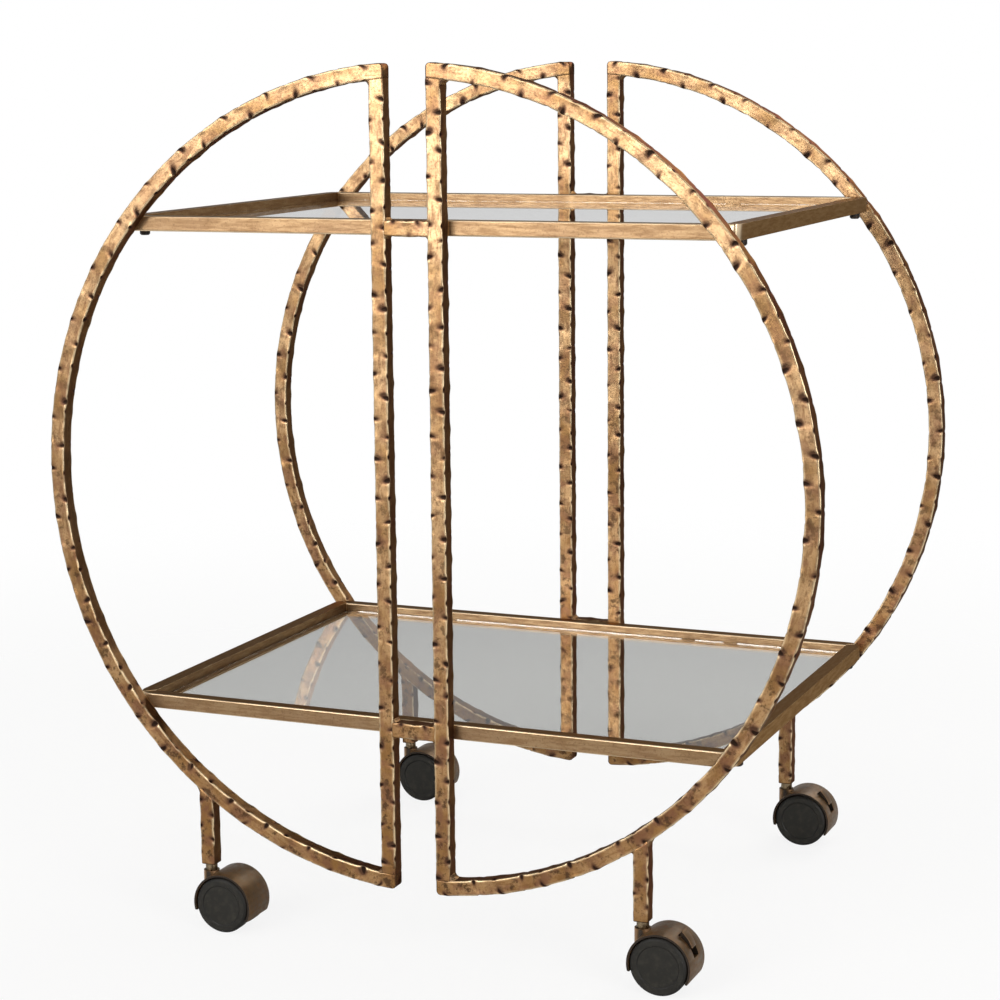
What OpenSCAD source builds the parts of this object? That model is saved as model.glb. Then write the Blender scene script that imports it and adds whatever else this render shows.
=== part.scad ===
// Round-sided bar cart: two hoops of square bar, two glass shelves, four hooded casters.
// Origin on the floor under the middle of the cart. +X to the right, +Z up, front hoop towards -Y.

/* [Hoops] */
// Outside diameter of each hoop
hoop_d = 700; // [680:5:760]
// Side of the hammered square bar
bar = 13; // [12:0.5:14]
// Clear gap between the two uprights of a hoop
upright_gap = 38; // [30:1:60]
// Height of the hoop centres above the floor
hoop_z = 406; // [400:1:430]
// Distance over the outer faces of the two hoops
cart_depth = 438; // [380:2:500]

/* [Shelves] */
// Overall width of a shelf frame
shelf_w = 556; // [520:2:560]
// Top of the upper shelf frame above the floor
upper_shelf_z = 628; // [600:1:640]
// Top of the lower shelf frame above the floor
lower_shelf_z = 204; // [190:1:240]
// Side of the smooth square rail
rail = 13; // [12:0.5:14]
// Radius of the outer corners of a shelf frame
shelf_corner_r = 14.5; // [6:0.5:16]
// Thickness of the glass
glass_t = 4; // [3:0.5:5]
// Depth of the glass surface below the top of the rails
glass_drop = 7; // [3:0.5:7]
// Width of the ledge that carries the glass
ledge_w = 8; // [6:0.5:12]
// Thickness of the ledge strips
ledge_t = 1.5; // [1:0.1:1.5]
// Head diameter of the bolts under the side rails
bolt_head_d = 9; // [7:0.1:10]
// Height of those bolt heads
bolt_head_h = 5.5; // [2:0.1:6]
// Distance of the bolts from the front and rear faces of a shelf frame
bolt_inset = 30; // [20:1:40]

/* [Legs] */
// Distance of the leg axes from the middle of the cart
leg_x = 202.5; // [150:0.5:220]
// Height of the lower end of the legs above the floor
leg_bottom = 56.5; // [55:0.5:60]
// Chamfer forged round the lower end of a leg
leg_chamfer = 3; // [1:0.5:4]

/* [Casters] */
// Diameter of the wheels
wheel_d = 50; // [48:0.5:52]
// Width over the hood of a caster
caster_w = 38; // [36:1:42]
// Horizontal distance from the swivel axis to the axle
trail = 19.5; // [18:0.5:21]
// Thickness of the hood shell
hood_t = 1.8; // [1.5:0.1:3]
// Height of the top of the stem boss above the floor
boss_z = 50.6; // [48:0.1:52]
// Diameter of the stem boss
boss_d = 14; // [13:0.5:15]
// Diameter of the stem
stem_d = 8; // [6:1:8]
// Diameter of the axle
axle_d = 6; // [5:0.5:7]
// Width of the brake lever's tab
lever_w = 10; // [8:0.5:11]

/* [Hidden] */
$fn = 96;

left = -1;
right = 1;
front = -1;
rear = 1;

bronze = "#b08a52";
rail_gold = "#a98450";
hood_brown = "#5f4732";
wheel_black = "#2b2926";
steel = "#b9b6b0";

// Hoops
hoop_r = hoop_d / 2;
hoop_in_r = hoop_r - bar;
hoop_y = cart_depth / 2 - bar / 2;
gap_half = upright_gap / 2;

// Shelf frames lie between the hoops, their front and rear rails flat against them
shelf_d = cart_depth - 2 * bar;
open_w = shelf_w - 2 * rail;
open_d = shelf_d - 2 * rail;
glass_gap = 1;
pad_d = 7;
pad_t = 0.5;
pad_inset = glass_gap + pad_d / 2;
ledge_drop = glass_drop + glass_t + pad_t;
strip_gap = 0.5;
bolt_d = 5;
bolt_len = 8;
bolt_bore_d = 5.1;
bolt_bore_len = 9;
bolt_rim = 1.2;

// Casters, measured from the swivel axis
wheel_r = wheel_d / 2;
hood_play = 0.8;
wheel_proud = 0.8;
hood_in_r = wheel_r + hood_play;
hood_r = hood_in_r + hood_t;
hood_front_angle = 184;
hood_rear_angle = -16;
web_half = 7.5;
hub_r = 7;
wheel_in = web_half + 0.5;
wheel_out = caster_w / 2 + wheel_proud;
wheel_w = wheel_out - wheel_in;
wheel_bore_r = axle_d / 2 + 0.05;
wheel_bore_len = wheel_w - 2;
axle_half = wheel_in + wheel_bore_len - 0.5;
collar_d = 10.5;
collar_seat = 1;
collar_play = 0.2;
stem_bore_r = stem_d / 2 + 0.05;
stem_bottom = 28;
stem_up = 20;
ring_z = 33;
ring_t = 0.9;
groove_play = 0.15;
groove_r = stem_d / 2 - 0.5;
ring_r = stem_d / 2 + 0.75;

// Brake lever, angles measured back from straight up, round the axle
lever_pin_angle = 36;
lever_pin_at_r = 23.5;
lever_pin_r = 1.5;
lever_bore_r = lever_pin_r + 0.06;
lever_tab_from = 30;
lever_tab_to = 59;
lever_raise = 0.4;
lever_tab_t = 1.6;
lever_flare = 3;
window_from = 27;
window_to = 76;
window_half = lever_w / 2 + 0.5;
window_in_r = 17.5;

function polar(r, a) = [r * cos(a), r * sin(a)];

// Square bar bent into a ring about the Y axis, one side of the upright gap
module hoop_arc(depth_side, width_side) {
    color(bronze)
    translate([0, depth_side * hoop_y, hoop_z])
    intersection() {
        rotate([90, 0, 0])
            linear_extrude(bar, center = true)
                difference() {
                    circle(hoop_r);
                    circle(hoop_in_r);
                }
        translate([width_side * (gap_half + hoop_r), 0, 0])
            cube([2 * hoop_r, 2 * bar, 2 * hoop_r + bar], center = true);
    }
}

// Straight bar that closes a D, coped to the inside of its arc
module upright(depth_side, width_side) {
    color(bronze)
    translate([0, depth_side * hoop_y, hoop_z])
    intersection() {
        translate([width_side * (gap_half + bar / 2), 0, 0])
            cube([bar, bar, 2 * hoop_r], center = true);
        rotate([90, 0, 0])
            cylinder(h = 2 * bar, r = hoop_in_r, center = true);
    }
}

// Short bar that joins the two uprights of a hoop at a shelf
module spacer(depth_side, top_z) {
    color(bronze)
    translate([0, depth_side * hoop_y, top_z - bar / 2])
        cube([upright_gap, bar, bar], center = true);
}

// Outline of a leg: square shank with a chamfered lower end
module leg_outline(top_z) {
    half = bar / 2;
    toe = half - leg_chamfer / 2;
    polygon([
        [-toe, leg_bottom], [toe, leg_bottom], [half, leg_bottom + leg_chamfer],
        [half, top_z], [-half, top_z], [-half, leg_bottom + leg_chamfer]
    ]);
}

// Leg under an arc, with a bore for the caster stem
module leg(depth_side, width_side) {
    top_z = hoop_z - hoop_r / 2;
    color(bronze)
    difference() {
        translate([width_side * leg_x, depth_side * hoop_y, 0])
            intersection() {
                rotate([90, 0, 0])
                    linear_extrude(bar, center = true)
                        leg_outline(top_z);
                rotate([90, 0, 90])
                    linear_extrude(bar, center = true)
                        leg_outline(top_z);
            }
        translate([0, depth_side * hoop_y, hoop_z])
            rotate([90, 0, 0])
                cylinder(h = 2 * bar, r = hoop_r, center = true);
        translate([width_side * leg_x, depth_side * hoop_y, leg_bottom - 1])
            cylinder(h = stem_up + 2, r = stem_d / 2 + 0.05);
    }
}

// Plan of a whole shelf frame
module shelf_plan() {
    difference() {
        square([shelf_w, shelf_d], center = true);
        square([open_w, open_d], center = true);
        for (x = [left, right], y = [front, rear])
            translate([x * (shelf_w / 2 - shelf_corner_r), y * (shelf_d / 2 - shelf_corner_r)])
                difference() {
                    translate([x * shelf_corner_r, y * shelf_corner_r])
                        square(2 * shelf_corner_r, center = true);
                    circle(shelf_corner_r);
                }
    }
}

// Bores for the bolts, in from below
module bolt_bores(top_z) {
    for (x = [left, right], y = [front, rear])
        translate([x * (shelf_w - rail) / 2, y * (shelf_d / 2 - bolt_inset), top_z - rail - 1])
            cylinder(h = bolt_bore_len + 1, d = bolt_bore_d);
}

// Front or rear rail, mitred into the side rails
module long_rail(depth_side, top_z) {
    color(rail_gold)
    translate([0, 0, top_z - rail])
        linear_extrude(rail)
            intersection() {
                shelf_plan();
                polygon([
                    [-shelf_w / 2, depth_side * shelf_d / 2], [shelf_w / 2, depth_side * shelf_d / 2],
                    [open_w / 2, depth_side * open_d / 2], [-open_w / 2, depth_side * open_d / 2]
                ]);
            }
}

// Left or right rail, mitred into the front and rear rails
module side_rail(width_side, top_z) {
    color(rail_gold)
    difference() {
        translate([0, 0, top_z - rail])
            linear_extrude(rail)
                intersection() {
                    shelf_plan();
                    polygon([
                        [width_side * shelf_w / 2, -shelf_d / 2], [width_side * shelf_w / 2, shelf_d / 2],
                        [width_side * open_w / 2, open_d / 2], [width_side * open_w / 2, -open_d / 2]
                    ]);
                }
        bolt_bores(top_z);
    }
}

// Four strips welded inside the rails to carry the glass
module glass_ledges(top_z) {
    side_len = open_d - 2 * ledge_w - 2 * strip_gap;
    color(rail_gold)
    translate([0, 0, top_z - ledge_drop - ledge_t / 2]) {
        for (y = [front, rear])
            translate([0, y * (open_d - ledge_w) / 2, 0])
                cube([open_w, ledge_w, ledge_t], center = true);
        for (x = [left, right])
            translate([x * (open_w - ledge_w) / 2, 0, 0])
                cube([ledge_w, side_len, ledge_t], center = true);
    }
}

// Clear bumper pads under the corners of the glass
module glass_pads(top_z) {
    color("white", 0.6)
    for (x = [left, right], y = [front, rear])
        translate([x * (open_w / 2 - pad_inset), y * (open_d / 2 - pad_inset), top_z - ledge_drop])
            cylinder(h = pad_t, d = pad_d);
}

// Glass pane, let in below the top of the rails
module glass(top_z) {
    color("lightgrey", 0.4)
    translate([0, 0, top_z - glass_drop - glass_t / 2])
        cube([open_w - 2 * glass_gap, open_d - 2 * glass_gap, glass_t], center = true);
}

// Bolts: shank up into the side rail, round head with a chamfered rim below it
module shelf_bolts(top_z) {
    color("#3a2a20")
    for (x = [left, right], y = [front, rear])
        translate([x * (shelf_w - rail) / 2, y * (shelf_d / 2 - bolt_inset), top_z - rail])
            rotate_extrude()
                polygon([
                    [0, bolt_len], [bolt_d / 2, bolt_len], [bolt_d / 2, 0], [bolt_head_d / 2, 0],
                    [bolt_head_d / 2, bolt_rim - bolt_head_h], [bolt_head_d / 2 - bolt_rim, -bolt_head_h],
                    [0, -bolt_head_h]
                ]);
}

// Puts a caster piece under its leg
module at_caster(depth_side, width_side) {
    translate([width_side * leg_x, depth_side * hoop_y, 0])
        children();
}

// Runs an outline drawn round the axle across the caster
module across(width) {
    translate([trail, 0, wheel_r])
        rotate([90, 0, 0])
            linear_extrude(width, center = true)
                children();
}

// Stem: upper shank in the leg, collar under the leg, lower shank in the hood
module stem(depth_side, width_side) {
    collar_bottom = boss_z - collar_seat + collar_play;
    color(steel)
    at_caster(depth_side, width_side)
        rotate_extrude()
            polygon([
                [0, stem_bottom], [stem_d / 2, stem_bottom],
                [stem_d / 2, ring_z - groove_play], [groove_r, ring_z - groove_play],
                [groove_r, ring_z + ring_t + groove_play], [stem_d / 2, ring_z + ring_t + groove_play],
                [stem_d / 2, collar_bottom], [collar_d / 2, collar_bottom],
                [collar_d / 2, leg_bottom], [stem_d / 2, leg_bottom],
                [stem_d / 2, leg_bottom + stem_up], [0, leg_bottom + stem_up]
            ]);
}

// Split rings in the stem grooves that hold the hoods up
module retaining_rings() {
    color(steel)
    for (y = [front, rear], x = [left, right])
        at_caster(y, x)
            translate([0, 0, ring_z])
                difference() {
                    cylinder(h = ring_t, r = ring_r);
                    translate([0, 0, -1])
                        cylinder(h = ring_t + 2, r = groove_r + 0.05);
                    translate([ring_r, 0, 0])
                        cube([2 * ring_r, 3, 4 * ring_t], center = true);
                }
}

// Part of the plane that the hood covers, between its front lip and rear corner
module hood_span(reach) {
    polygon([
        polar(reach, hood_front_angle), polar(reach, hood_rear_angle),
        [reach, reach], [-reach, reach]
    ]);
}

// Ring sector between two angles measured back from straight up
module back_sector(r_in, r_out, a_from, a_to) {
    reach = 2 * r_out;
    intersection() {
        difference() {
            circle(r_out);
            circle(r_in);
        }
        polygon([
            [0, 0], polar(reach, 90 - a_from), polar(reach, 90 - (a_from + a_to) / 2), polar(reach, 90 - a_to)
        ]);
    }
}

// Hood: curved shell over both wheels, central web with the axle boss, stem boss in front
module hood(depth_side, width_side, braked) {
    color(hood_brown)
    at_caster(depth_side, width_side)
    difference() {
        union() {
            across(caster_w)
                difference() {
                    intersection() {
                        circle(hood_r);
                        hood_span(2 * hood_r);
                    }
                    circle(hood_in_r);
                }
            across(2 * web_half) {
                intersection() {
                    circle(hood_in_r + 0.1);
                    hood_span(2 * hood_r);
                }
                circle(hub_r);
            }
            translate([0, 0, wheel_r - 1])
                cylinder(h = boss_z - wheel_r + 1, d = boss_d);
        }
        across(caster_w)
            circle(d = axle_d);
        translate([0, 0, stem_bottom - 1])
            cylinder(h = boss_z, r = stem_bore_r);
        translate([0, 0, boss_z - collar_seat])
            cylinder(h = 2 * collar_seat, r = collar_d / 2 + 0.4);
        translate([0, 0, ring_z - 0.25])
            cylinder(h = ring_t + 0.5, r = ring_r + 0.15);
        if (braked) {
            across(2 * window_half)
                back_sector(window_in_r, 2 * hood_r, window_from, window_to);
            across(caster_w)
                translate(polar(lever_pin_at_r, 90 - lever_pin_angle))
                    circle(lever_pin_r);
        }
    }
}

module axle(depth_side, width_side) {
    color(steel)
    at_caster(depth_side, width_side)
        across(2 * axle_half)
            circle(d = axle_d);
}

// Wheel: tyre with a bevelled shoulder, dished face, hollow back and a blind hub
module wheel(depth_side, width_side, axle_side) {
    rim_in = wheel_r - 4;
    dish_r = 17.5;
    hub = 6.5;
    face = wheel_w;
    color(wheel_black)
    at_caster(depth_side, width_side)
        translate([trail, axle_side * wheel_in, wheel_r])
            rotate([-axle_side * 90, 0, 0])
                rotate_extrude()
                    polygon([
                        [wheel_bore_r, 0], [hub, 0], [hub, face - 3.4], [rim_in, face - 3.4],
                        [rim_in, 0], [wheel_r - 0.6, 0], [wheel_r, 0.6], [wheel_r, face - 2.6],
                        [wheel_r - 0.8, face - 1.2], [wheel_r - 2.6, face], [dish_r + 1, face],
                        [dish_r, face - 0.8], [0, face - 0.8],
                        [0, wheel_bore_len], [wheel_bore_r, wheel_bore_len]
                    ]);
}

// Brake lever: tab outside the hood, flared up at its front end, shoe and hinge eye inside its window
module brake_lever(depth_side, width_side) {
    tab_r = hood_r + lever_raise;
    pin_at = polar(lever_pin_at_r, 90 - lever_pin_angle);
    color(hood_brown)
    at_caster(depth_side, width_side)
        across(lever_w)
            difference() {
                union() {
                    intersection() {
                        back_sector(tab_r, tab_r + 2 * lever_flare + lever_tab_t, lever_tab_from, lever_tab_to);
                        translate(polar(2 * lever_flare, 180 - (lever_tab_from + lever_tab_to) / 2))
                            circle(tab_r + lever_tab_t + lever_flare / 2);
                    }
                    back_sector(21, tab_r + 0.1, 42, 56);
                    back_sector(lever_pin_at_r - 1, tab_r + 0.1, lever_pin_angle - 3, 43);
                    translate(pin_at)
                        circle(lever_pin_r + 1.6);
                }
                translate(pin_at)
                    circle(lever_bore_r);
            }
}

module brake_pin(depth_side, width_side) {
    color(steel)
    at_caster(depth_side, width_side)
        across(2 * web_half)
            translate(polar(lever_pin_at_r, 90 - lever_pin_angle))
                circle(lever_pin_r);
}

hoop_arc(front, left);  // front_arc_left
hoop_arc(front, right);  // front_arc_right
hoop_arc(rear, left);  // rear_arc_left
hoop_arc(rear, right);  // rear_arc_right
upright(front, left);  // front_upright_left
upright(front, right);  // front_upright_right
upright(rear, left);  // rear_upright_left
upright(rear, right);  // rear_upright_right
spacer(front, upper_shelf_z);  // front_spacer_upper
spacer(front, lower_shelf_z);  // front_spacer_lower
spacer(rear, upper_shelf_z);  // rear_spacer_upper
spacer(rear, lower_shelf_z);  // rear_spacer_lower
leg(front, left);  // leg_front_left
leg(front, right);  // leg_front_right
leg(rear, left);  // leg_rear_left
leg(rear, right);  // leg_rear_right
long_rail(front, upper_shelf_z);  // upper_rail_front
long_rail(rear, upper_shelf_z);  // upper_rail_rear
side_rail(left, upper_shelf_z);  // upper_rail_left
side_rail(right, upper_shelf_z);  // upper_rail_right
long_rail(front, lower_shelf_z);  // lower_rail_front
long_rail(rear, lower_shelf_z);  // lower_rail_rear
side_rail(left, lower_shelf_z);  // lower_rail_left
side_rail(right, lower_shelf_z);  // lower_rail_right
glass_ledges(upper_shelf_z);  // upper_glass_ledges
glass_ledges(lower_shelf_z);  // lower_glass_ledges
glass_pads(upper_shelf_z);  // upper_glass_pads
glass_pads(lower_shelf_z);  // lower_glass_pads
glass(upper_shelf_z);  // upper_glass
glass(lower_shelf_z);  // lower_glass
shelf_bolts(upper_shelf_z);  // upper_shelf_bolts
shelf_bolts(lower_shelf_z);  // lower_shelf_bolts
stem(front, left);  // stem_front_left
stem(front, right);  // stem_front_right
stem(rear, left);  // stem_rear_left
stem(rear, right);  // stem_rear_right
retaining_rings();  // stem_retaining_rings
hood(front, left, false);  // hood_front_left
hood(front, right, true);  // hood_front_right
hood(rear, left, false);  // hood_rear_left
hood(rear, right, true);  // hood_rear_right
axle(front, left);  // axle_front_left
axle(front, right);  // axle_front_right
axle(rear, left);  // axle_rear_left
axle(rear, right);  // axle_rear_right
wheel(front, left, front);  // wheel_front_left_near
wheel(front, left, rear);  // wheel_front_left_far
wheel(front, right, front);  // wheel_front_right_near
wheel(front, right, rear);  // wheel_front_right_far
wheel(rear, left, front);  // wheel_rear_left_near
wheel(rear, left, rear);  // wheel_rear_left_far
wheel(rear, right, front);  // wheel_rear_right_near
wheel(rear, right, rear);  // wheel_rear_right_far
brake_lever(front, right);  // brake_lever_front
brake_lever(rear, right);  // brake_lever_rear
brake_pin(front, right);  // brake_pin_front
brake_pin(rear, right);  // brake_pin_rear
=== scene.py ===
import math
from collections import namedtuple

import bmesh
import bpy
import numpy as np
from mathutils import Matrix, Vector


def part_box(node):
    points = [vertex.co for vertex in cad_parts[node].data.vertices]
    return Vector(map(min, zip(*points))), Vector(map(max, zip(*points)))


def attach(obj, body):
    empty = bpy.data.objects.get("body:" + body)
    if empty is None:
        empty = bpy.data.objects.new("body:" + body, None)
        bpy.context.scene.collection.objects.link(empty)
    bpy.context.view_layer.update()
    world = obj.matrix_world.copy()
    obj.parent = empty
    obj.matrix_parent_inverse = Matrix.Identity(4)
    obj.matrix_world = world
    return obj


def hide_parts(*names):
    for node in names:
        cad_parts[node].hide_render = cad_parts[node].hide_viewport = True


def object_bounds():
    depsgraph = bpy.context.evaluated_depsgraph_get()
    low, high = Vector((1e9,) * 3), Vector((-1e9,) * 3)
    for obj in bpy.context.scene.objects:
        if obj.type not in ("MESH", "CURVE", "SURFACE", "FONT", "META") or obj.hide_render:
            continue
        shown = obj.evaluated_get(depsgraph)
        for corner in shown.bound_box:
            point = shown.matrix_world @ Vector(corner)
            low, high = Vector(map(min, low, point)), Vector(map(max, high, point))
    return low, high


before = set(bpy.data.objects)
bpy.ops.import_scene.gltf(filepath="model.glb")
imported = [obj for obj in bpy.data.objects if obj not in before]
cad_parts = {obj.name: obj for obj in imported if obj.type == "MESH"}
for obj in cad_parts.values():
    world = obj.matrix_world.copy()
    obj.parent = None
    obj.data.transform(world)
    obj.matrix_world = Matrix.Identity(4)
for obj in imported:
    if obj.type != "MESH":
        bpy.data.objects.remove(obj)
cad_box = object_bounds()

MM = 0.001
SIDES = {"left": -1, "right": 1}
HOOPS = {"front": -1, "rear": 1}

# Dimensions, read from the frame
arc_low, arc_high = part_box("front_arc_right")
HOOP_R = arc_high.x
HOOP_Z = (arc_low.z + arc_high.z) / 2
GAP_HALF = arc_low.x
BAR = arc_high.y - arc_low.y
HOOP_Y = -(arc_low.y + arc_high.y) / 2
leg_low, leg_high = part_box("leg_front_right")
LEG_X = (leg_low.x + leg_high.x) / 2
LEG_BOTTOM = leg_low.z


# ---------------------------------------------------------------- camera

def add_camera():
    """The viewing angle: front right, just above the top shelf."""
    yaw, pitch, roll = (math.radians(a) for a in (23.822, 9.514, -0.716))
    forward = Vector((-math.sin(yaw) * math.cos(pitch), math.cos(yaw) * math.cos(pitch), -math.sin(pitch)))
    level = Vector((math.cos(yaw), math.sin(yaw), 0))
    up = level.cross(forward)
    right = math.cos(roll) * level + math.sin(roll) * up
    top = math.cos(roll) * up - math.sin(roll) * level
    data = bpy.data.cameras.new("camera")
    data.sensor_width = 36
    data.lens = 88.4
    data.shift_x = 0.05
    data.shift_y = -0.02
    data.clip_end = 60
    camera = bpy.data.objects.new("camera", data)
    turn = Matrix((right, top, -forward)).transposed().to_4x4()
    camera.matrix_world = Matrix.Translation((0.8425, -2.0442, 0.7501)) @ turn
    bpy.context.scene.collection.objects.link(camera)
    bpy.context.scene.camera = camera


add_camera()


# ---------------------------------------------------------------- shader helpers

class Shader:
    """A material's node tree, with short calls for the nodes used here."""

    def __init__(self, name):
        self.material = bpy.data.materials.new(name)
        self.material.use_nodes = True
        self.tree = self.material.node_tree
        self.surface = self.tree.nodes["Principled BSDF"]
        self.position = self.node("ShaderNodeTexCoord").outputs["Object"]

    def node(self, kind, **settings):
        made = self.tree.nodes.new(kind)
        for key, value in settings.items():
            setattr(made, key, value)
        return made

    def feed(self, socket, value):
        if isinstance(value, bpy.types.NodeSocket):
            self.tree.links.new(value, socket)
        elif isinstance(value, tuple) and len(value) == 3 and len(socket.default_value) == 4:
            socket.default_value = (*value, 1)
        else:
            socket.default_value = value

    def set(self, **values):
        for name, value in values.items():
            self.feed(self.surface.inputs[name.replace("_", " ")], value)

    def math(self, operation, *values):
        made = self.node("ShaderNodeMath", operation=operation)
        for socket, value in zip(made.inputs, values):
            self.feed(socket, value)
        return made.outputs[0]

    def stretched(self, scale):
        made = self.node("ShaderNodeMapping")
        self.feed(made.inputs["Vector"], self.position)
        made.inputs["Scale"].default_value = scale
        return made.outputs[0]

    def noise(self, scale, detail=4.0, rough=0.55, vector=None, distortion=0.0):
        made = self.node("ShaderNodeTexNoise")
        self.feed(made.inputs["Vector"], vector or self.position)
        made.inputs["Scale"].default_value = scale
        made.inputs["Detail"].default_value = detail
        made.inputs["Roughness"].default_value = rough
        made.inputs["Distortion"].default_value = distortion
        return made.outputs["Fac"]

    def cells(self, scale):
        made = self.node("ShaderNodeTexVoronoi", feature="SMOOTH_F1")
        self.feed(made.inputs["Vector"], self.position)
        made.inputs["Scale"].default_value = scale
        made.inputs["Smoothness"].default_value = 0.6
        return made.outputs["Distance"]

    def span(self, value, low, high, to_low=0.0, to_high=1.0):
        made = self.node("ShaderNodeMapRange", interpolation_type="SMOOTHSTEP")
        self.feed(made.inputs["Value"], value)
        for name, number in (("From Min", low), ("From Max", high), ("To Min", to_low), ("To Max", to_high)):
            made.inputs[name].default_value = number
        return made.outputs["Result"]

    def mix(self, factor, a, b):
        made = self.node("ShaderNodeMix", data_type="RGBA")
        self.feed(made.inputs["Factor"], factor)
        self.feed(made.inputs[6], a)
        self.feed(made.inputs[7], b)
        return made.outputs[2]

    def painted(self, name):
        """A number that the mesh carries at each vertex."""
        return self.node("ShaderNodeAttribute", attribute_name=name).outputs["Fac"]

    def bump(self, height, strength, distance):
        made = self.node("ShaderNodeBump")
        self.feed(made.inputs["Height"], height)
        made.inputs["Strength"].default_value = strength
        made.inputs["Distance"].default_value = distance
        return made.outputs["Normal"]


# ---------------------------------------------------------------- materials

def hammered_gold():
    """Forged bar: pale gold rubbed over brown, dark patina in the dents, flanks darker with patina and painted
    shade, edges bright with wear and a painted highlight, browner and darker lower down with painted shade.
    """
    m = Shader("hammered_gold")
    edge = m.painted("edge")
    pit = m.painted("pit")
    halo = m.painted("halo")
    side = m.painted("side")
    run = m.math("MULTIPLY", m.painted("run"), 0.30)
    along = m.node("ShaderNodeCombineXYZ")
    for socket, value in zip(along.inputs, (m.painted("radial"), m.painted("depth"), run)):
        m.feed(socket, value)
    streak = m.noise(270, 6, 0.64, along.outputs[0], 0.5)
    broad = m.noise(24, 3)
    fine = m.noise(520, 5, 0.6)
    height = m.node("ShaderNodeSeparateXYZ")
    m.feed(height.inputs[0], m.position)
    # low is one at the bottom of the cart and nothing above 0.66 m: the browning and darkening it drives is painted
    # shade
    low = m.span(height.outputs["Z"], 0.66, 0.10)

    # Gold of the front and back faces, streaked and speckled, browner and darker lower down: painted shade, darkest
    # at the bottom of the cart
    gold = m.mix(m.span(broad, 0.34, 0.66), (0.300, 0.172, 0.070), (0.61, 0.405, 0.218))
    gold = m.mix(m.math("MULTIPLY", m.span(streak, 0.46, 0.64), 0.72), gold, (0.22, 0.120, 0.058))
    gold = m.mix(m.math("MULTIPLY", m.span(fine, 0.50, 0.70), 0.55), gold, (0.14, 0.070, 0.036))
    gold = m.mix(m.math("MULTIPLY", low, 0.52), gold, (0.24, 0.110, 0.027))
    # Russet tone and dark blotches vary at random, and are made stronger lower down, which adds painted shade
    russet = m.span(m.noise(62, 5, 0.6), 0.47, 0.62)
    russet = m.math("MULTIPLY", russet, m.math("MULTIPLY_ADD", low, 0.35, 0.36))
    gold = m.mix(russet, gold, (0.19, 0.085, 0.050))
    blotch = m.span(m.noise(95, 7, 0.72), 0.52, 0.61)
    blotch = m.math("MULTIPLY", blotch, m.math("MULTIPLY_ADD", low, 0.55, 0.32))
    gold = m.mix(blotch, gold, (0.070, 0.038, 0.020))

    # Stains round the dents, partly painted shade: each is shifted up the bar toward the dent's upper side, where
    # the dent would sit in shade
    grime = m.noise(170, 5, 0.65)
    gold = m.mix(m.math("MULTIPLY", halo, m.span(grime, 0.30, 0.60)), gold, (0.23, 0.110, 0.062))
    core = m.math("MULTIPLY", m.span(halo, 0.32, 0.75), m.span(grime, 0.34, 0.50))
    gold = m.mix(m.math("MULTIPLY", core, 0.85), gold, (0.055, 0.029, 0.018))

    # Inner and outer faces, darker: partly patina, partly painted shade on faces turned away from the light
    flank_patina_and_shade = m.mix(m.span(broad, 0.3, 0.7), (0.078, 0.040, 0.019), (0.140, 0.078, 0.040))
    flank_patina_and_shade = m.mix(m.math("MULTIPLY", m.span(streak, 0.48, 0.66), 0.6), flank_patina_and_shade, (0.055, 0.036, 0.021))
    gold = m.mix(m.math("MULTIPLY", side, 0.92), gold, flank_patina_and_shade)

    # Edges rubbed bright, partly wear and partly a painted highlight, with the painted glints below the dents; then
    # the dark patina in the dents themselves
    rub_and_highlight = m.math("MULTIPLY", edge, m.span(m.noise(90, 3), 0.26, 0.56))
    gold = m.mix(rub_and_highlight, gold, (0.92, 0.74, 0.47))
    gold = m.mix(m.math("MULTIPLY", m.span(pit, 0.04, 0.38), 0.75), gold, (0.120, 0.056, 0.034))
    gold = m.mix(m.span(pit, 0.26, 0.62), gold, (0.022, 0.011, 0.007))

    rough = m.math("ADD", m.span(fine, 0.3, 0.8, 0.34, 0.46), m.math("MULTIPLY", pit, 0.25))
    relief = m.math("ADD", m.math("MULTIPLY", m.cells(120), 0.6), m.math("MULTIPLY", fine, 0.30))
    m.set(Base_Color=gold, Metallic=0.93, Roughness=rough, Normal=m.bump(relief, 0.35, 0.0005),
          Specular_Tint=(0.42, 0.30, 0.20), Coat_Weight=0.05, Coat_Roughness=0.35)
    return m.material


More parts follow.
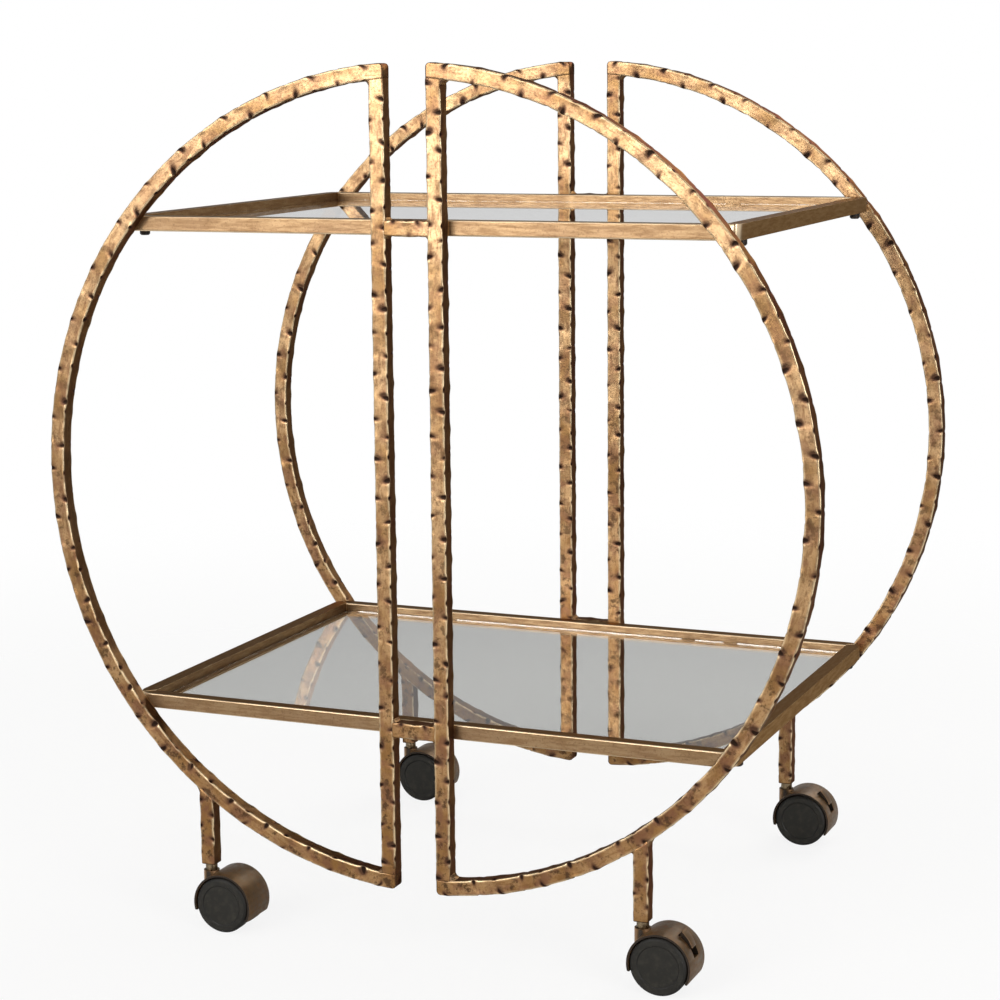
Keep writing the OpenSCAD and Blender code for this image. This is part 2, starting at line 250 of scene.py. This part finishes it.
def smooth_gold(name, stretch):
    """Smooth square rail: brushed gold with fine brown streaks, edges bright with wear and a painted highlight, top
    faces darker with painted shade.
    """
    m = Shader(name)
    along = m.stretched(stretch)
    streak = m.noise(420, 5, 0.62, along, 0.2)
    hair = m.noise(1500, 3, 0.6, along)
    broad = m.noise(16, 3)
    speck = m.noise(620, 4, 0.6)
    facing = m.node("ShaderNodeSeparateXYZ")
    m.feed(facing.inputs[0], m.node("ShaderNodeTexCoord").outputs["Normal"])
    sides = [m.math("ABSOLUTE", part) for part in facing.outputs]
    flat = m.math("MAXIMUM", m.math("MAXIMUM", sides[0], sides[1]), sides[2])
    gold = m.mix(m.span(streak, 0.36, 0.64), (0.242, 0.145, 0.072), (0.345, 0.228, 0.123))
    gold = m.mix(m.math("MULTIPLY", m.span(broad, 0.48, 0.75), 0.45), gold, (0.23, 0.140, 0.082))
    gold = m.mix(m.math("MULTIPLY", m.span(hair, 0.52, 0.72), 0.35), gold, (0.17, 0.095, 0.050))
    gold = m.mix(m.math("MULTIPLY", m.span(speck, 0.52, 0.72), 0.60), gold, (0.13, 0.070, 0.038))
    # painted shade: the top faces darker
    gold = m.mix(m.math("MULTIPLY", m.span(sides[2], 0.90, 0.99), 0.60), gold, (0.085, 0.050, 0.032))
    # Edges bright, partly rubbed wear and partly a painted highlight
    edge_highlight = m.math("MULTIPLY", m.span(flat, 0.985, 0.90), m.span(broad, 0.30, 0.50, 0.55, 1.0))
    gold = m.mix(edge_highlight, gold, (0.86, 0.68, 0.46))
    rough = m.span(streak, 0.3, 0.7, 0.42, 0.32)
    relief = m.math("ADD", m.math("MULTIPLY", streak, 0.4), m.math("MULTIPLY", hair, 0.3))
    m.set(Base_Color=gold, Metallic=0.93, Roughness=rough, Normal=m.bump(relief, 0.22, 0.0002),
          Specular_Tint=(0.50, 0.37, 0.26), Coat_Weight=0.06, Coat_Roughness=0.35)
    return m.material


def clear_glass():
    """Shelf glass with a faint grey tint."""
    m = Shader("clear_glass")
    smear = m.noise(18, 4)
    m.set(Base_Color=(0.84, 0.855, 0.85), IOR=1.5, Transmission_Weight=1.0,
          Roughness=m.span(smear, 0.45, 0.75, 0.0, 0.02))
    return m.material


def clear_pad():
    """Bumper pad under the glass: cloudy clear rubber."""
    m = Shader("clear_pad")
    cloud = m.noise(900, 3)
    m.set(Base_Color=m.mix(cloud, (0.62, 0.62, 0.60), (0.85, 0.85, 0.83)), Roughness=0.35,
          Transmission_Weight=0.4, Normal=m.bump(cloud, 0.2, 0.0002))
    return m.material


def dark_bolt():
    """Blackened bolt head with brown showing through."""
    m = Shader("dark_bolt")
    wear = m.noise(600, 4)
    m.set(Base_Color=m.mix(m.span(wear, 0.45, 0.75), (0.012, 0.010, 0.009), (0.075, 0.042, 0.026)),
          Metallic=0.6, Roughness=m.span(wear, 0.3, 0.7, 0.35, 0.6), Normal=m.bump(wear, 0.4, 0.0003))
    return m.material


def zinc_steel():
    """Stems, axles, pins and rings: plated steel gone brassy."""
    m = Shader("zinc_steel")
    haze = m.noise(350, 4)
    m.set(Base_Color=m.mix(haze, (0.13, 0.092, 0.052), (0.33, 0.26, 0.17)), Metallic=1.0,
          Roughness=m.span(haze, 0.3, 0.7, 0.22, 0.40), Normal=m.bump(haze, 0.25, 0.0002))
    return m.material


def facing_sideways(m):
    """How squarely a caster's surface faces along its axle, nothing on the treads."""
    parts = m.node("ShaderNodeSeparateXYZ")
    m.feed(parts.inputs[0], m.node("ShaderNodeTexCoord").outputs["Normal"])
    return m.math("ABSOLUTE", parts.outputs["Y"])


def bronze_plastic():
    """Caster hood: moulded plastic in a brown bronze lacquer, with a painted highlight along its rounded edges, and
    bare on its rims.
    """
    m = Shader("bronze_plastic")
    broad = m.noise(55, 4, 0.55)
    mottle = m.noise(240, 4, 0.6)
    grain = m.noise(1800, 3)
    flank = facing_sideways(m)
    base = m.mix(m.span(broad, 0.35, 0.65), (0.085, 0.044, 0.013), (0.130, 0.072, 0.026))
    base = m.mix(m.math("MULTIPLY", m.span(mottle, 0.50, 0.72), 0.60), base, (0.190, 0.080, 0.026))
    base = m.mix(m.math("MULTIPLY", m.span(mottle, 0.45, 0.28), 0.5), base, (0.040, 0.028, 0.018))
    # painted highlight: a bright line where the hood's rounded edge would catch the light
    edge_highlight = m.math("MULTIPLY", m.span(flank, 0.15, 0.45), m.span(flank, 0.95, 0.75))
    base = m.mix(m.math("MULTIPLY", edge_highlight, 0.85), base, (0.34, 0.200, 0.110))
    base = m.mix(m.math("MULTIPLY", m.span(flank, 0.90, 0.99), 0.9), base, (0.016, 0.012, 0.010))
    rough = m.span(mottle, 0.3, 0.7, 0.36, 0.52)
    m.set(Base_Color=base, Metallic=0.55, Roughness=rough, Normal=m.bump(grain, 0.18, 0.0002))
    return m.material


def wheel_plastic():
    """Near-black moulded nylon, scuffed and dusty on its face, with painted shade darkening the shoulder and tread
    under the hood.
    """
    m = Shader("wheel_plastic")
    scuff = m.noise(160, 5, 0.62)
    grain = m.noise(2200, 3)
    flank = facing_sideways(m)
    base = m.mix(m.span(scuff, 0.42, 0.72), (0.009, 0.0083, 0.0064), (0.022, 0.020, 0.015))
    # painted shade: the shoulder and tread darker, as if shadowed by the hood
    base = m.mix(m.math("MULTIPLY", m.span(flank, 0.97, 0.80), 0.75), base, (0.005, 0.0045, 0.004))
    m.set(Base_Color=base, Specular_IOR_Level=0.3, Roughness=m.span(scuff, 0.3, 0.7, 0.42, 0.62),
          Normal=m.bump(grain, 0.22, 0.0002))
    return m.material


HAMMERED = hammered_gold()
RAIL_X = smooth_gold("smooth_gold_lengthways", (0.14, 1, 1))
RAIL_Y = smooth_gold("smooth_gold_crossways", (1, 0.14, 1))
GLASS = clear_glass()
PAD = clear_pad()
BOLT = dark_bolt()
ZINC = zinc_steel()
HOOD = bronze_plastic()
WHEEL = wheel_plastic()


# ---------------------------------------------------------------- mesh helpers

def add_piece(name, vertices, faces, material, body, numbers=None):
    """A closed mesh that rides on a body. numbers are named values at each vertex."""
    mesh = bpy.data.meshes.new(name)
    mesh.from_pydata(vertices, [], faces)
    for key, values in (numbers or {}).items():
        mesh.attributes.new(key, "FLOAT", "POINT").data.foreach_set("value", values)
    mesh.materials.append(material)
    mesh.shade_smooth()
    mesh.update()
    piece = bpy.data.objects.new(name, mesh)
    bpy.context.scene.collection.objects.link(piece)
    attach(piece, body)
    return piece


def finish_node(node, material, bevel, steps=3):
    """Gives a CAD node its material, joins its separate faces, and softens its edges."""
    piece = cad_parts[node]
    piece.data.materials.clear()
    piece.data.materials.append(material)
    join = piece.modifiers.new("join_faces", "WELD")
    join.merge_threshold = 0.005 * MM
    soften = piece.modifiers.new("soft_edges", "BEVEL")
    soften.width = bevel
    soften.segments = steps
    soften.limit_method = "ANGLE"
    soften.angle_limit = math.radians(40)
    soften.harden_normals = True


# ---------------------------------------------------------------- hammered bars

# Mesh spacing along a bar and across each of its faces
RING_STEP = 1.25 * MM
PER_SIDE = 10

# The bar's own shape: corner radius, bevel of its ends, and rounding of an arc's outer corner
CORNER = 0.9 * MM
END_BEVEL = 0.6 * MM
END_ROUND = 4 * MM

# Dents: how deep, how far the edge swells out beside them and how far in that swelling reaches, how far they
# keep from the ends of a bar, and how far below a face a point still takes part in its dents
DENT_DEPTH = 0.8 * MM
BULGE = 0.7 * MM
BULGE_REACH = 1.9 * MM
END_MARGIN = 3 * MM
FACE_DEPTH = 1.5 * MM

# Colour round the dents and edges: how far a stain, partly painted shade, is shifted up the bar from its dent,
# the reach of the painted glint, a highlight just below a dent, and the width of the corners rubbed bright with a
# painted highlight
STAIN_AND_SHADE_SHIFT = 1.3 * MM
GLINT_REACH = 1.4 * MM
RUB_AND_HIGHLIGHT_WIDTH = 0.85 * MM

# Slow waves of the faces
WAVES = 5
WAVE_DEPTH = 0.05 * MM

# Joints: how far each bar runs into the next one, and how its faces sink below the arc's there
UPRIGHT_RUN_IN = 2 * MM
LEG_RUN_IN = 2.5 * MM
SPACER_RUN_IN = 1.5 * MM
JOINT_SINK = 0.17
JOINT_LAP = 0.55

# Weld beads: legs of the fillets, how deep they are rooted in the bars, and their mesh
CORNER_WELD = 4.5 * MM
LEG_WELD_OUTER = 4 * MM
LEG_WELD_INNER = 3 * MM
SPACER_WELD = 2.4 * MM
WELD_ROOT = 1.2 * MM
WELD_RINGS = 10
WELD_STEPS = 7

# How a bar was hammered: pitch of the dents along each edge, half length and reach of a dent, then the force
# of the blows on its front and back faces at the inner and the outer edge, and on its inner and outer faces
Blows = namedtuple("Blows", "pitch half_length reach inner_edge outer_edge flanks")
ARC_BLOWS = Blows(46 * MM, 1.9 * MM, 4.9 * MM, 1.1, 1.0, 0.85)
UPRIGHT_BLOWS = Blows(35 * MM, 1.8 * MM, 4.6 * MM, 1.0, 1.05, 0.75)
SHORT_BLOWS = Blows(24 * MM, 1.9 * MM, 4.2 * MM, 0.8, 0.8, 0.4)

# Seeds: the Ds count up from the first, and each kind of bar and weld adds its own offset
FIRST_SEED = 10
SEED_OFFSET = {"upright": 20, "leg": 40, "spacer": 60, "side_welds": 80, "spacer_welds": 90}


def square_section():
    """Points round a square with soft corners, and the way each one faces."""
    half = BAR / 2
    flat = half - CORNER
    points = []
    normals = []
    for k in range(4):
        turn = k * math.pi / 2
        out = np.array([math.cos(turn), math.sin(turn)])
        across = np.array([-math.sin(turn), math.cos(turn)])
        for i in range(PER_SIDE + 1):
            points.append(out * half + across * flat * (2 * i / PER_SIDE - 1))
            normals.append(out)
        middle = (out + across) / math.sqrt(2)
        points.append((out + across) * flat + middle * CORNER)
        normals.append(middle)
    return np.array(points), np.array(normals)


def bell(x, width):
    return np.exp(-(x / width) ** 2)


def dent_places(length, pitch, phase, chance):
    """Places of the dents along one edge of a bar."""
    count = int(length / pitch) + 2
    at = pitch * (np.arange(count) + phase - 0.3) + chance.normal(0, 0.07 * pitch, count)
    return at[(at > END_MARGIN) & (at < length - END_MARGIN)]


def hammer(along, points, normals, seed, blows):
    """Moves of every section point at every place along a bar, and how dented, stained and rubbed it is, with
    painted shade above the dents and painted glints below them.
    """
    chance = np.random.RandomState(seed)
    half = BAR / 2
    moves = np.zeros((len(along), len(points), 2))
    pit = np.zeros((len(along), len(points)))
    halo = np.zeros_like(pit)
    glint = np.zeros_like(pit)
    shift = chance.uniform(0, 0.4)
    for k in range(4):
        turn = k * math.pi / 2
        out = np.array([math.cos(turn), math.sin(turn)])
        across = np.array([-math.sin(turn), math.cos(turn)])
        facing = np.clip(normals @ out, 0, 1)
        sideways = points @ across
        depth = half - points @ out
        on_face = (depth < FACE_DEPTH) * facing
        on_front = k % 2 == 1
        for edge_side in (-1, 1):
            inward = half - edge_side * sideways
            inner = across[0] * edge_side < -0.5
            strength = blows.flanks
            if on_front:
                strength = blows.inner_edge if inner else blows.outer_edge
            for at in dent_places(along[-1], blows.pitch, 0.5 * (edge_side > 0) + shift, chance):
                force = chance.uniform(0.6, 1.2) * strength
                width = blows.half_length * chance.uniform(0.8, 1.25)
                reach = blows.reach * chance.uniform(0.7, 1.35) * (0.5 + 0.5 * min(force, 1))
                slant = chance.uniform(-0.35, 0.35)
                near = along[:, None] - at - slant * inward[None, :]
                core = bell(near, width) * bell(inward, reach) * on_face
                lip = bell(near + 2 * width, 0.8 * width) * bell(inward, reach) * on_face
                moves -= (DENT_DEPTH * force * (core - 0.10 * lip))[:, :, None] * out
                swell = np.outer(bell(along - at, 2.2 * width), bell(inward, BULGE_REACH) * bell(depth, 3 * MM))
                moves += (BULGE * force * swell)[:, :, None] * across * edge_side
                pit += 0.95 * force * core
                # The stain is shifted along the bar, upward on arcs, uprights and legs: partly stain, partly
                # painted shade on the dent's upper side
                stain_and_shade = bell(near - STAIN_AND_SHADE_SHIFT, 2.4 * width) * bell(inward, 1.5 * reach) * on_face
                halo += force * chance.uniform(0.35, 1.15) * stain_and_shade
                if on_front:
                    # painted glint: a highlight painted just below each dent, where its lower wall would catch the
                    # light
                    glint += force * bell(near + 1.7 * width, 0.7 * width) * bell(inward, GLINT_REACH) * on_face
        for wave in range(WAVES):
            period = chance.uniform(16, 75) * MM
            tilt = chance.uniform(-1, 1) * 180
            start = chance.uniform(0, 2 * math.pi)
            ripple = np.sin(2 * math.pi * along[:, None] / period + tilt * sideways[None, :] + start)
            moves += (WAVE_DEPTH * ripple * facing)[:, :, None] * out
    return moves, np.clip(pit, 0, 1.3), np.clip(halo, 0, 1), np.clip(glint, 0, 1)


def corner_rub_and_highlight(points):
    """One on the corners of the section, nothing on its faces."""
    inward = BAR / 2 - np.minimum(np.abs(points[:, 0]), np.abs(points[:, 1]))
    return bell(inward, RUB_AND_HIGHLIGHT_WIDTH)


def tube_faces(rings, ring):
    """Faces of a closed tube of rings of points."""
    first = np.arange(rings - 1)[:, None] * ring
    here = np.arange(ring)[None, :]
    beside = (here + 1) % ring
    faces = np.stack([first + here, first + beside, first + ring + beside, first + ring + here], axis=-1)
    faces = faces.reshape(-1, 4).tolist()
    faces.append(list(range(ring))[::-1])
    faces.append([(rings - 1) * ring + i for i in range(ring)])
    return faces


def inside_cart(vertices):
    """Keeps hammered bulges within the size of the CAD model."""
    return np.clip(vertices, cad_box[0], cad_box[1])


def hammered_bar(name, place, length, seed, blows):
    """A hammered square bar. place(along, n, b) gives the points for a place along the bar and a section."""
    points, normals = square_section()
    along = np.linspace(0, length, int(length / RING_STEP) + 1)
    moves, pit, halo, glint = hammer(along, points, normals, seed, blows)
    last = len(along) - 1
    order = [0, 0] + list(range(1, last)) + [last, last]
    along = along[order]
    along[1] = END_BEVEL
    along[-2] = length - END_BEVEL
    section = (points + moves)[order]
    section[[0, -1]] -= normals * END_BEVEL
    pit = pit[order]
    halo = halo[order]
    glint = glint[order]
    vertices = np.stack(place(along[:, None], section[:, :, 0], section[:, :, 1]), axis=-1).reshape(-1, 3)
    rings, ring = section.shape[:2]
    from_end = np.minimum(along, length - along)[:, None]
    edge = np.tile(corner_rub_and_highlight(points), (rings, 1)) * np.clip(1 - 1.4 * pit, 0, 1)
    # The painted glints join the rubbed corners in the bright edge colour
    edge = np.maximum(edge * np.clip(from_end / BAR - 0.5, 0, 1), glint * (pit < 0.3))
    # side darkens the inner and outer faces with patina and painted shade; the end rings count as flanks and are
    # darkened the same way
    side = np.tile(np.abs(normals[:, 0]) ** 2, (rings, 1))
    side[[0, 1, -2, -1]] = 1
    run = np.repeat(along + seed, ring)
    numbers = {"edge": edge.ravel(), "pit": pit.ravel(), "halo": halo.ravel(), "side": side.ravel(),
               "run": run, "radial": np.tile(points[:, 0], rings), "depth": np.tile(points[:, 1], rings)}
    return forged_piece(name, inside_cart(vertices), tube_faces(rings, ring), numbers)


def forged_piece(name, vertices, faces, numbers):
    """A piece of hammered metal on the frame, with its faces all turned outward."""
    piece = add_piece(name, vertices.tolist(), faces, HAMMERED, "cart_frame", numbers)
    shell = bmesh.new()
    shell.from_mesh(piece.data)
    bmesh.ops.recalc_face_normals(shell, faces=shell.faces)
    shell.to_mesh(piece.data)
    shell.free()
    return piece


def arc_place(depth_side, side):
    """Places on an arc, which ends beside the gap with its outer corner rounded."""
    middle = HOOP_R - BAR / 2
    length = 2 * math.acos(GAP_HALF / middle) * middle

    def place(along, n, b):
        radius = middle + n
        nominal = np.clip(n, -BAR / 2, BAR / 2)
        past = np.clip(nominal - (BAR / 2 - END_ROUND), 0, END_ROUND)
        tip = GAP_HALF + END_ROUND - np.sqrt(END_ROUND ** 2 - past ** 2)
        reach = np.arccos(tip / (middle + nominal))
        angle = (2 * along / length - 1) * reach
        return side * radius * np.cos(angle), depth_side * HOOP_Y + b, HOOP_Z + radius * np.sin(angle)

    return place, length


def straight_place(start, direction, out, radius):
    """Places on a straight bar in a hoop: out is the direction that the section's first axis takes.
    Where the bar runs into its arc, whose near face has this radius, its own faces sink below the arc's."""

    def place(along, n, b):
        x, y, z = (start[i] + direction[i] * along + out[i] * n for i in range(3))
        off = np.hypot(x, z - HOOP_Z) - radius
        into_arc = off if radius < HOOP_R else -off
        sunk = np.clip(into_arc / MM - JOINT_LAP, 0, 1)
        return x, y + b * (1 - JOINT_SINK * sunk), z

    return place


def weld_points(corner, first, second, size, middle_y, chance):
    """Rings of a fillet weld in the corner between two faces, which leave it along first and second."""
    rings = []
    half = BAR / 2 - 0.25 * MM
    for y in np.linspace(-half, half, WELD_RINGS):
        rounded = 1 - 0.25 * max(0, (abs(y) - half + 1.5 * MM) / (1.5 * MM)) ** 2
        reach = size * rounded * chance.uniform(0.88, 1.08)
        outline = [corner - WELD_ROOT * (first + second), corner + reach * first - WELD_ROOT * second]
        for t in np.linspace(0, 1, WELD_STEPS):
            sag = 0.28 * 2 * t * (1 - t)
            curve = (1 - t) ** 2 * first + t ** 2 * second + sag * (first + second)
            outline.append(corner + reach * curve)
        outline.append(corner + reach * second - WELD_ROOT * first)
        rings.append([(point[0], middle_y + y, point[1]) for point in outline])
    return rings


def add_welds(name, corners, middle_y, seed):
    """One piece of fillet welds: each corner is its place, its two directions and its size, in X and Z."""
    chance = np.random.RandomState(seed)
    vertices = []
    faces = []
    for corner, first, second, size in corners:
        rings = weld_points(np.array(corner), np.array(first), np.array(second), size, middle_y, chance)
        start = len(vertices)
        faces += [[start + i for i in face] for face in tube_faces(len(rings), len(rings[0]))]
        for ring in rings:
            vertices += ring
    count = len(vertices)
    # side 0.35 darkens the welds partway toward the flank colour, partly patina and partly painted shade; edge 0.1
    # adds a little of the bright edge colour, partly a painted highlight
    numbers = {"edge": np.full(count, 0.1), "pit": chance.uniform(0.0, 0.25, count),
               "halo": chance.uniform(0.2, 0.9, count), "side": np.full(count, 0.35),
               "run": np.full(count, 0.0), "radial": [v[0] for v in vertices],
               "depth": [v[2] for v in vertices]}
    return forged_piece(name, inside_cart(np.array(vertices)), faces, numbers)


def corner_welds(sign):
    """Inside corners of a D, where its arc meets its upright."""
    x = GAP_HALF + BAR
    inner = HOOP_R - BAR
    rise = math.sqrt(inner ** 2 - x ** 2)
    slope = (rise / inner, x / inner)
    welds = []
    for up in (-1, 1):
        corner = (sign * x, HOOP_Z + up * rise)
        welds.append((corner, (0, -up), (sign * slope[0], -up * slope[1]), CORNER_WELD))
    return welds


def leg_welds(sign):
    """Both sides of a leg, where it meets its arc."""
    welds = []
    for way in (-1, 1):
        x = LEG_X + way * BAR / 2
        drop = math.sqrt(HOOP_R ** 2 - x ** 2)
        along = (way * drop / HOOP_R, way * x / HOOP_R)
        size = LEG_WELD_OUTER if way > 0 else LEG_WELD_INNER
        welds.append(((sign * x, HOOP_Z - drop), (0, -1), (sign * along[0], along[1]), size))
    return welds


def spacer_welds(low, high):
    welds = []
    for x, way in ((low.x, 1), (high.x, -1)):
        for z, up in ((low.z, -1), (high.z, 1)):
            welds.append(((x, z), (way, 0), (0, up), SPACER_WELD))
    return welds


def build_hoops():
    """Both hoops: two Ds each with an arc, an upright and a leg, joined by two spacers."""
    seed = FIRST_SEED
    for hoop, depth in HOOPS.items():
        y = depth * HOOP_Y
        for side, sign in SIDES.items():
            seed += 1
            place, length = arc_place(depth, sign)
            arc = hammered_bar(f"{hoop}_arc_{side}_forged", place, length, seed, ARC_BLOWS)
            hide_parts(f"{hoop}_arc_{side}")
            reach = math.sqrt((HOOP_R - BAR + UPRIGHT_RUN_IN) ** 2 - (GAP_HALF + BAR / 2) ** 2)
            place = straight_place((sign * (GAP_HALF + BAR / 2), y, HOOP_Z - reach), (0, 0, 1), (sign, 0, 0),
                                   HOOP_R - BAR)
            name = f"{hoop}_upright_{side}"
            upright = hammered_bar(f"{name}_forged", place, 2 * reach, seed + SEED_OFFSET["upright"], UPRIGHT_BLOWS)
            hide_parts(name)
            name = f"leg_{hoop}_{side}"
            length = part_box(name)[1].z + LEG_RUN_IN - LEG_BOTTOM
            place = straight_place((sign * LEG_X, y, LEG_BOTTOM), (0, 0, 1), (sign, 0, 0), HOOP_R)
            leg = hammered_bar(f"{name}_forged", place, length, seed + SEED_OFFSET["leg"], SHORT_BLOWS)
            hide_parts(name)
            corners = corner_welds(sign) + leg_welds(sign)
            add_welds(f"{hoop}_{side}_welds", corners, y, seed + SEED_OFFSET["side_welds"])
        for level in ("upper", "lower"):
            low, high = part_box(f"{hoop}_spacer_{level}")
            place = straight_place((low.x - SPACER_RUN_IN, y, (low.z + high.z) / 2), (1, 0, 0), (0, 0, 1),
                                   HOOP_R - BAR)
            length = high.x - low.x + 2 * SPACER_RUN_IN
            name = f"{hoop}_spacer_{level}"
            spacer = hammered_bar(f"{name}_forged", place, length, seed + SEED_OFFSET["spacer"], SHORT_BLOWS)
            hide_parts(name)
            add_welds(f"{name}_welds", spacer_welds(low, high), y, seed + SEED_OFFSET["spacer_welds"])


build_hoops()


# ---------------------------------------------------------------- shelves

RAIL_BEVEL = 1.3 * MM


def finish_shelves():
    for level in ("upper", "lower"):
        for hoop in HOOPS:
            finish_node(f"{level}_rail_{hoop}", RAIL_X, RAIL_BEVEL)
        for side in SIDES:
            finish_node(f"{level}_rail_{side}", RAIL_Y, RAIL_BEVEL)
        finish_node(f"{level}_glass_ledges", RAIL_X, 0.3 * MM)
        finish_node(f"{level}_glass", GLASS, 0.6 * MM, 2)
        finish_node(f"{level}_glass_pads", PAD, 0.2 * MM, 2)
        finish_node(f"{level}_shelf_bolts", BOLT, 0.4 * MM, 3)


finish_shelves()


# ---------------------------------------------------------------- casters

def finish_casters():
    for hoop in HOOPS:
        for side in SIDES:
            finish_node(f"stem_{hoop}_{side}", ZINC, 0.4 * MM)
            finish_node(f"hood_{hoop}_{side}", HOOD, 0.5 * MM)
            finish_node(f"axle_{hoop}_{side}", ZINC, 0.3 * MM)
            for place in ("near", "far"):
                finish_node(f"wheel_{hoop}_{side}_{place}", WHEEL, 0.4 * MM)
        finish_node(f"brake_lever_{hoop}", HOOD, 0.4 * MM)
        finish_node(f"brake_pin_{hoop}", ZINC, 0.2 * MM)
    finish_node("stem_retaining_rings", ZINC, 0.1 * MM)


finish_casters()


# ---------------------------------------------------------------- floor and light

FLOOR_GLOW = 0.86


def add_floor():
    """A pale round floor that fades into the white round it."""
    bpy.ops.mesh.primitive_circle_add(vertices=96, radius=6, fill_type="NGON", location=(0, 0, 0))
    floor = bpy.context.object
    floor.name = "floor"
    m = Shader("pale_floor")
    links = m.tree.links
    distance = m.node("ShaderNodeVectorMath", operation="LENGTH")
    m.feed(distance.inputs[0], m.position)
    m.set(Base_Color=(0.74, 0.74, 0.73), Roughness=0.7)
    glow = m.node("ShaderNodeEmission")
    lit = m.node("ShaderNodeMixShader")
    seen = m.math("MULTIPLY", m.node("ShaderNodeLightPath").outputs["Is Camera Ray"], FLOOR_GLOW)
    m.feed(lit.inputs[0], seen)
    links.new(m.surface.outputs[0], lit.inputs[1])
    links.new(glow.outputs[0], lit.inputs[2])
    clear = m.node("ShaderNodeBsdfTransparent")
    fade = m.node("ShaderNodeMixShader")
    m.feed(fade.inputs[0], m.span(distance.outputs["Value"], 0.7, 2.0))
    links.new(lit.outputs[0], fade.inputs[1])
    links.new(clear.outputs[0], fade.inputs[2])
    links.new(fade.outputs[0], m.tree.nodes["Material Output"].inputs["Surface"])
    floor.data.materials.append(m.material)


def add_world():
    """White where the camera looks past the cart, softer grey for what lights it."""
    world = bpy.data.worlds.new("studio")
    world.use_nodes = True
    tree = world.node_tree
    tree.nodes.clear()
    output = tree.nodes.new("ShaderNodeOutputWorld")
    seen = tree.nodes.new("ShaderNodeBackground")
    seen.inputs["Color"].default_value = (1, 1, 1, 1)
    fill = tree.nodes.new("ShaderNodeBackground")
    fill.inputs["Strength"].default_value = 1.0
    where = tree.nodes.new("ShaderNodeTexCoord")
    split = tree.nodes.new("ShaderNodeSeparateXYZ")
    ramp = tree.nodes.new("ShaderNodeValToRGB")
    lift = tree.nodes.new("ShaderNodeMapRange")
    lift.inputs["From Min"].default_value = -1
    stops = ramp.color_ramp
    stops.elements[0].color = (0.30, 0.29, 0.28, 1)
    stops.elements[1].color = (0.24, 0.24, 0.24, 1)
    for height, grey in ((-0.14, 0.34), (0.0, 0.58), (0.07, 0.76), (0.14, 0.52), (0.24, 0.33)):
        stop = stops.elements.new((height + 1) / 2)
        stop.color = (grey, grey, grey, 1)
    ray = tree.nodes.new("ShaderNodeLightPath")
    mix = tree.nodes.new("ShaderNodeMixShader")
    links = tree.links
    links.new(where.outputs["Generated"], split.inputs[0])
    links.new(split.outputs["Z"], lift.inputs["Value"])
    links.new(lift.outputs["Result"], ramp.inputs["Fac"])
    links.new(ramp.outputs["Color"], fill.inputs["Color"])
    links.new(ray.outputs["Is Camera Ray"], mix.inputs[0])
    links.new(fill.outputs[0], mix.inputs[1])
    links.new(seen.outputs[0], mix.inputs[2])
    links.new(mix.outputs[0], output.inputs["Surface"])
    bpy.context.scene.world = world


def add_light(name, azimuth, elevation, distance, size, power, colour=(1, 1, 1)):
    """An area light aimed at the cart. azimuth 0 is in front, positive towards +X."""
    turn, lift = math.radians(azimuth), math.radians(elevation)
    target = Vector((0, 0, 0.4))
    away = Vector((math.sin(turn) * math.cos(lift), -math.cos(turn) * math.cos(lift), math.sin(lift)))
    data = bpy.data.lights.new(name, "AREA")
    data.shape = "RECTANGLE"
    data.size, data.size_y = size
    data.energy = power
    data.color = colour
    light = bpy.data.objects.new(name, data)
    light.location = target + away * distance
    light.rotation_euler = away.to_track_quat("Z", "Y").to_euler()
    bpy.context.scene.collection.objects.link(light)


add_floor()
add_world()
add_light("key", -20, 18, 2.7, (1.3, 1.7), 46, (1.0, 0.97, 0.93))
add_light("right_rim", 58, 14, 2.8, (0.9, 1.9), 36, (1.0, 0.98, 0.95))
add_light("left_fill", -80, 20, 3.0, (1.6, 1.6), 10)
add_light("back", 160, 35, 3.0, (2.0, 1.4), 40, (1.0, 0.98, 0.95))
add_light("top", 0, 88, 2.6, (2.0, 2.0), 14)

scene = bpy.context.scene
scene.view_settings.view_transform = "Standard"
scene.view_settings.look = "None"
